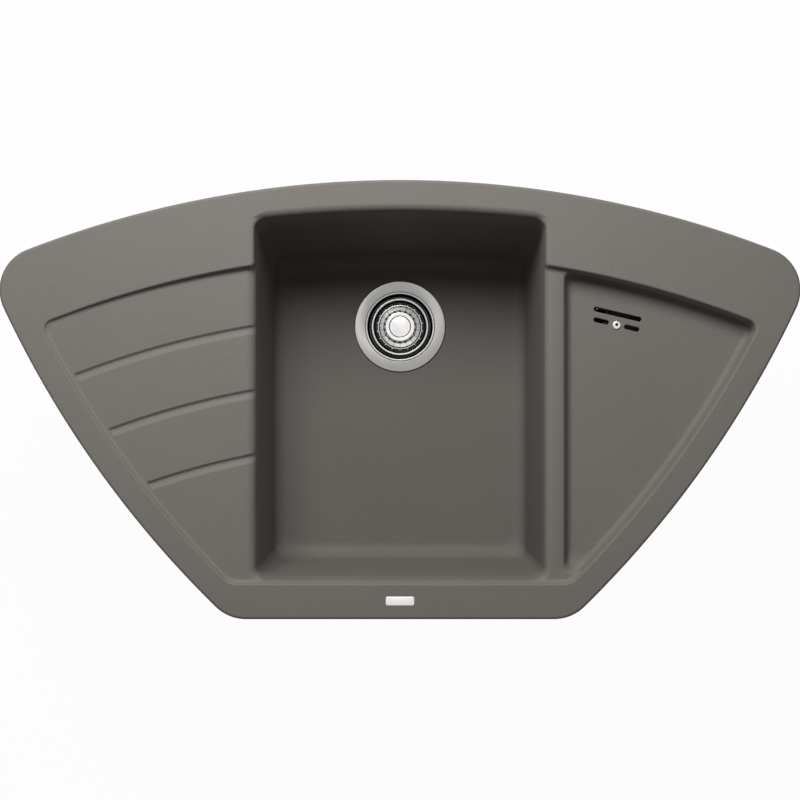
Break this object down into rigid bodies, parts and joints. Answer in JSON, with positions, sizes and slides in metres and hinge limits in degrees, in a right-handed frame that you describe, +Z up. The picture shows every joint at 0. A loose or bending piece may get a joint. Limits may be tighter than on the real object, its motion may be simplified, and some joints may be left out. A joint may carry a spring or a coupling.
{
  "type": "corner kitchen sink",
  "caption": "Fan-shaped built-in corner sink with a deep main bowl, a grooved drainer and a shallow side tray, a basket strainer waste, a slotted overflow and worktop clamps.",
  "frame": {"origin": "on the rim's flat underside at the middle of the front edge, where the rim rests on the worktop", "axes": "+X to the right along the front edge, +Y to the wall behind the sink, +Z up; the sink hangs below z = 0"},
  "size_m": [0.93, 0.51, 0.293],
  "materials": {
    "composite": "matte fine-grained mineral composite",
    "foam": "matte closed-cell foam",
    "plate": "satin",
    "satin_steel": "satin stainless",
    "polished_steel": "polished stainless",
    "seal_rubber": "matte black",
    "waste_plastic": "satin moulded",
    "clamp_plastic": "moulded black plastic",
    "brass": "machined",
    "zinc_steel": "zinc plated"
  },
  "bodies": {
    "sink": {"sink_deck": "composite", "sink_bowl": "composite", "sink_drain_seat": "composite", "sink_tray": "composite", "rim_seal": "foam", "badge_plate": "plate", "strainer_cup": "satin_steel", "waste_screw": "polished_steel", "flange_gasket": "seal_rubber", "lower_gasket": "seal_rubber", "waste_body": "waste_plastic", "overflow_gasket": "seal_rubber", "overflow_housing": "waste_plastic", "overflow_screw": "polished_steel", "overflow_nut": "brass", "overflow_pipe": "waste_plastic", "overflow_union_top": "waste_plastic", "overflow_union_bottom": "waste_plastic", "clamp_holder_1": "clamp_plastic", "clamp_insert_1": "brass", "clamp_holder_2": "clamp_plastic", "clamp_insert_2": "brass", "clamp_holder_3": "clamp_plastic", "clamp_insert_3": "brass", "clamp_holder_4": "clamp_plastic", "clamp_insert_4": "brass", "clamp_holder_5": "clamp_plastic", "clamp_insert_5": "brass", "clamp_holder_6": "clamp_plastic", "clamp_insert_6": "brass", "clamp_holder_7": "clamp_plastic", "clamp_insert_7": "brass", "clamp_holder_8": "clamp_plastic", "clamp_insert_8": "brass"},
    "basket_slider": {"basket_stem": "polished_steel"},
    "strainer_basket": {"basket": "polished_steel", "basket_seal": "seal_rubber", "basket_cap": "polished_steel"},
    "clamp_screw_body_1": {"clamp_screw_1": "zinc_steel"},
    "clamp_claw_body_1": {"clamp_claw_1": "zinc_steel"},
    "clamp_screw_body_2": {"clamp_screw_2": "zinc_steel"},
    "clamp_claw_body_2": {"clamp_claw_2": "zinc_steel"},
    "clamp_screw_body_3": {"clamp_screw_3": "zinc_steel"},
    "clamp_claw_body_3": {"clamp_claw_3": "zinc_steel"},
    "clamp_screw_body_4": {"clamp_screw_4": "zinc_steel"},
    "clamp_claw_body_4": {"clamp_claw_4": "zinc_steel"},
    "clamp_screw_body_5": {"clamp_screw_5": "zinc_steel"},
    "clamp_claw_body_5": {"clamp_claw_5": "zinc_steel"},
    "clamp_screw_body_6": {"clamp_screw_6": "zinc_steel"},
    "clamp_claw_body_6": {"clamp_claw_6": "zinc_steel"},
    "clamp_screw_body_7": {"clamp_screw_7": "zinc_steel"},
    "clamp_claw_body_7": {"clamp_claw_7": "zinc_steel"},
    "clamp_screw_body_8": {"clamp_screw_8": "zinc_steel"},
    "clamp_claw_body_8": {"clamp_claw_8": "zinc_steel"}
  },
  "joints": [
    {"name": "basket_lift", "type": "slide", "parent": "sink", "child": "basket_slider", "axis": [0, 0, 1], "range_m": [0, 0.26]},
    {"name": "basket_turn", "type": "hinge", "parent": "basket_slider", "child": "strainer_basket", "pos_m": [0, 0.344, -0.19], "axis": [0, 0, 1], "continuous": true},
    {"name": "clamp_grip_1", "type": "slide", "parent": "sink", "child": "clamp_screw_body_1", "axis": [0, 0, 1], "range_m": [0, 0.012]},
    {"name": "clamp_swing_1", "type": "hinge", "parent": "clamp_screw_body_1", "child": "clamp_claw_body_1", "pos_m": [0.198, 0.46621, -0.049], "axis": [0, 0, -1], "range_deg": [0, 90]},
    {"name": "clamp_grip_2", "type": "slide", "parent": "sink", "child": "clamp_screw_body_2", "axis": [0, 0, 1], "range_m": [0, 0.012]},
    {"name": "clamp_swing_2", "type": "hinge", "parent": "clamp_screw_body_2", "child": "clamp_claw_body_2", "pos_m": [-0.198, 0.46621, -0.049], "axis": [0, 0, 1], "range_deg": [0, 90]},
    {"name": "clamp_grip_3", "type": "slide", "parent": "sink", "child": "clamp_screw_body_3", "axis": [0, 0, 1], "range_m": [0, 0.012]},
    {"name": "clamp_swing_3", "type": "hinge", "parent": "clamp_screw_body_3", "child": "clamp_claw_body_3", "pos_m": [0.34, 0.43278, -0.049], "axis": [0, 0, -1], "range_deg": [0, 90]},
    {"name": "clamp_grip_4", "type": "slide", "parent": "sink", "child": "clamp_screw_body_4", "axis": [0, 0, 1], "range_m": [0, 0.012]},
    {"name": "clamp_swing_4", "type": "hinge", "parent": "clamp_screw_body_4", "child": "clamp_claw_body_4", "pos_m": [-0.34, 0.43278, -0.049], "axis": [0, 0, 1], "range_deg": [0, 90]},
    {"name": "clamp_grip_5", "type": "slide", "parent": "sink", "child": "clamp_screw_body_5", "axis": [0, 0, 1], "range_m": [0, 0.012]},
    {"name": "clamp_swing_5", "type": "hinge", "parent": "clamp_screw_body_5", "child": "clamp_claw_body_5", "pos_m": [0.44019, 0.372, -0.049], "axis": [0, 0, 1], "range_deg": [0, 90]},
    {"name": "clamp_grip_6", "type": "slide", "parent": "sink", "child": "clamp_screw_body_6", "axis": [0, 0, 1], "range_m": [0, 0.012]},
    {"name": "clamp_swing_6", "type": "hinge", "parent": "clamp_screw_body_6", "child": "clamp_claw_body_6", "pos_m": [-0.44019, 0.372, -0.049], "axis": [0, 0, -1], "range_deg": [0, 90]},
    {"name": "clamp_grip_7", "type": "slide", "parent": "sink", "child": "clamp_screw_body_7", "axis": [0, 0, 1], "range_m": [0, 0.012]},
    {"name": "clamp_swing_7", "type": "hinge", "parent": "clamp_screw_body_7", "child": "clamp_claw_body_7", "pos_m": [0.13, 0.021, -0.049], "axis": [0, 0, 1], "range_deg": [0, 90]},
    {"name": "clamp_grip_8", "type": "slide", "parent": "sink", "child": "clamp_screw_body_8", "axis": [0, 0, 1], "range_m": [0, 0.012]},
    {"name": "clamp_swing_8", "type": "hinge", "parent": "clamp_screw_body_8", "child": "clamp_claw_body_8", "pos_m": [-0.13, 0.021, -0.049], "axis": [0, 0, -1], "range_deg": [0, 90]}
  ]
}
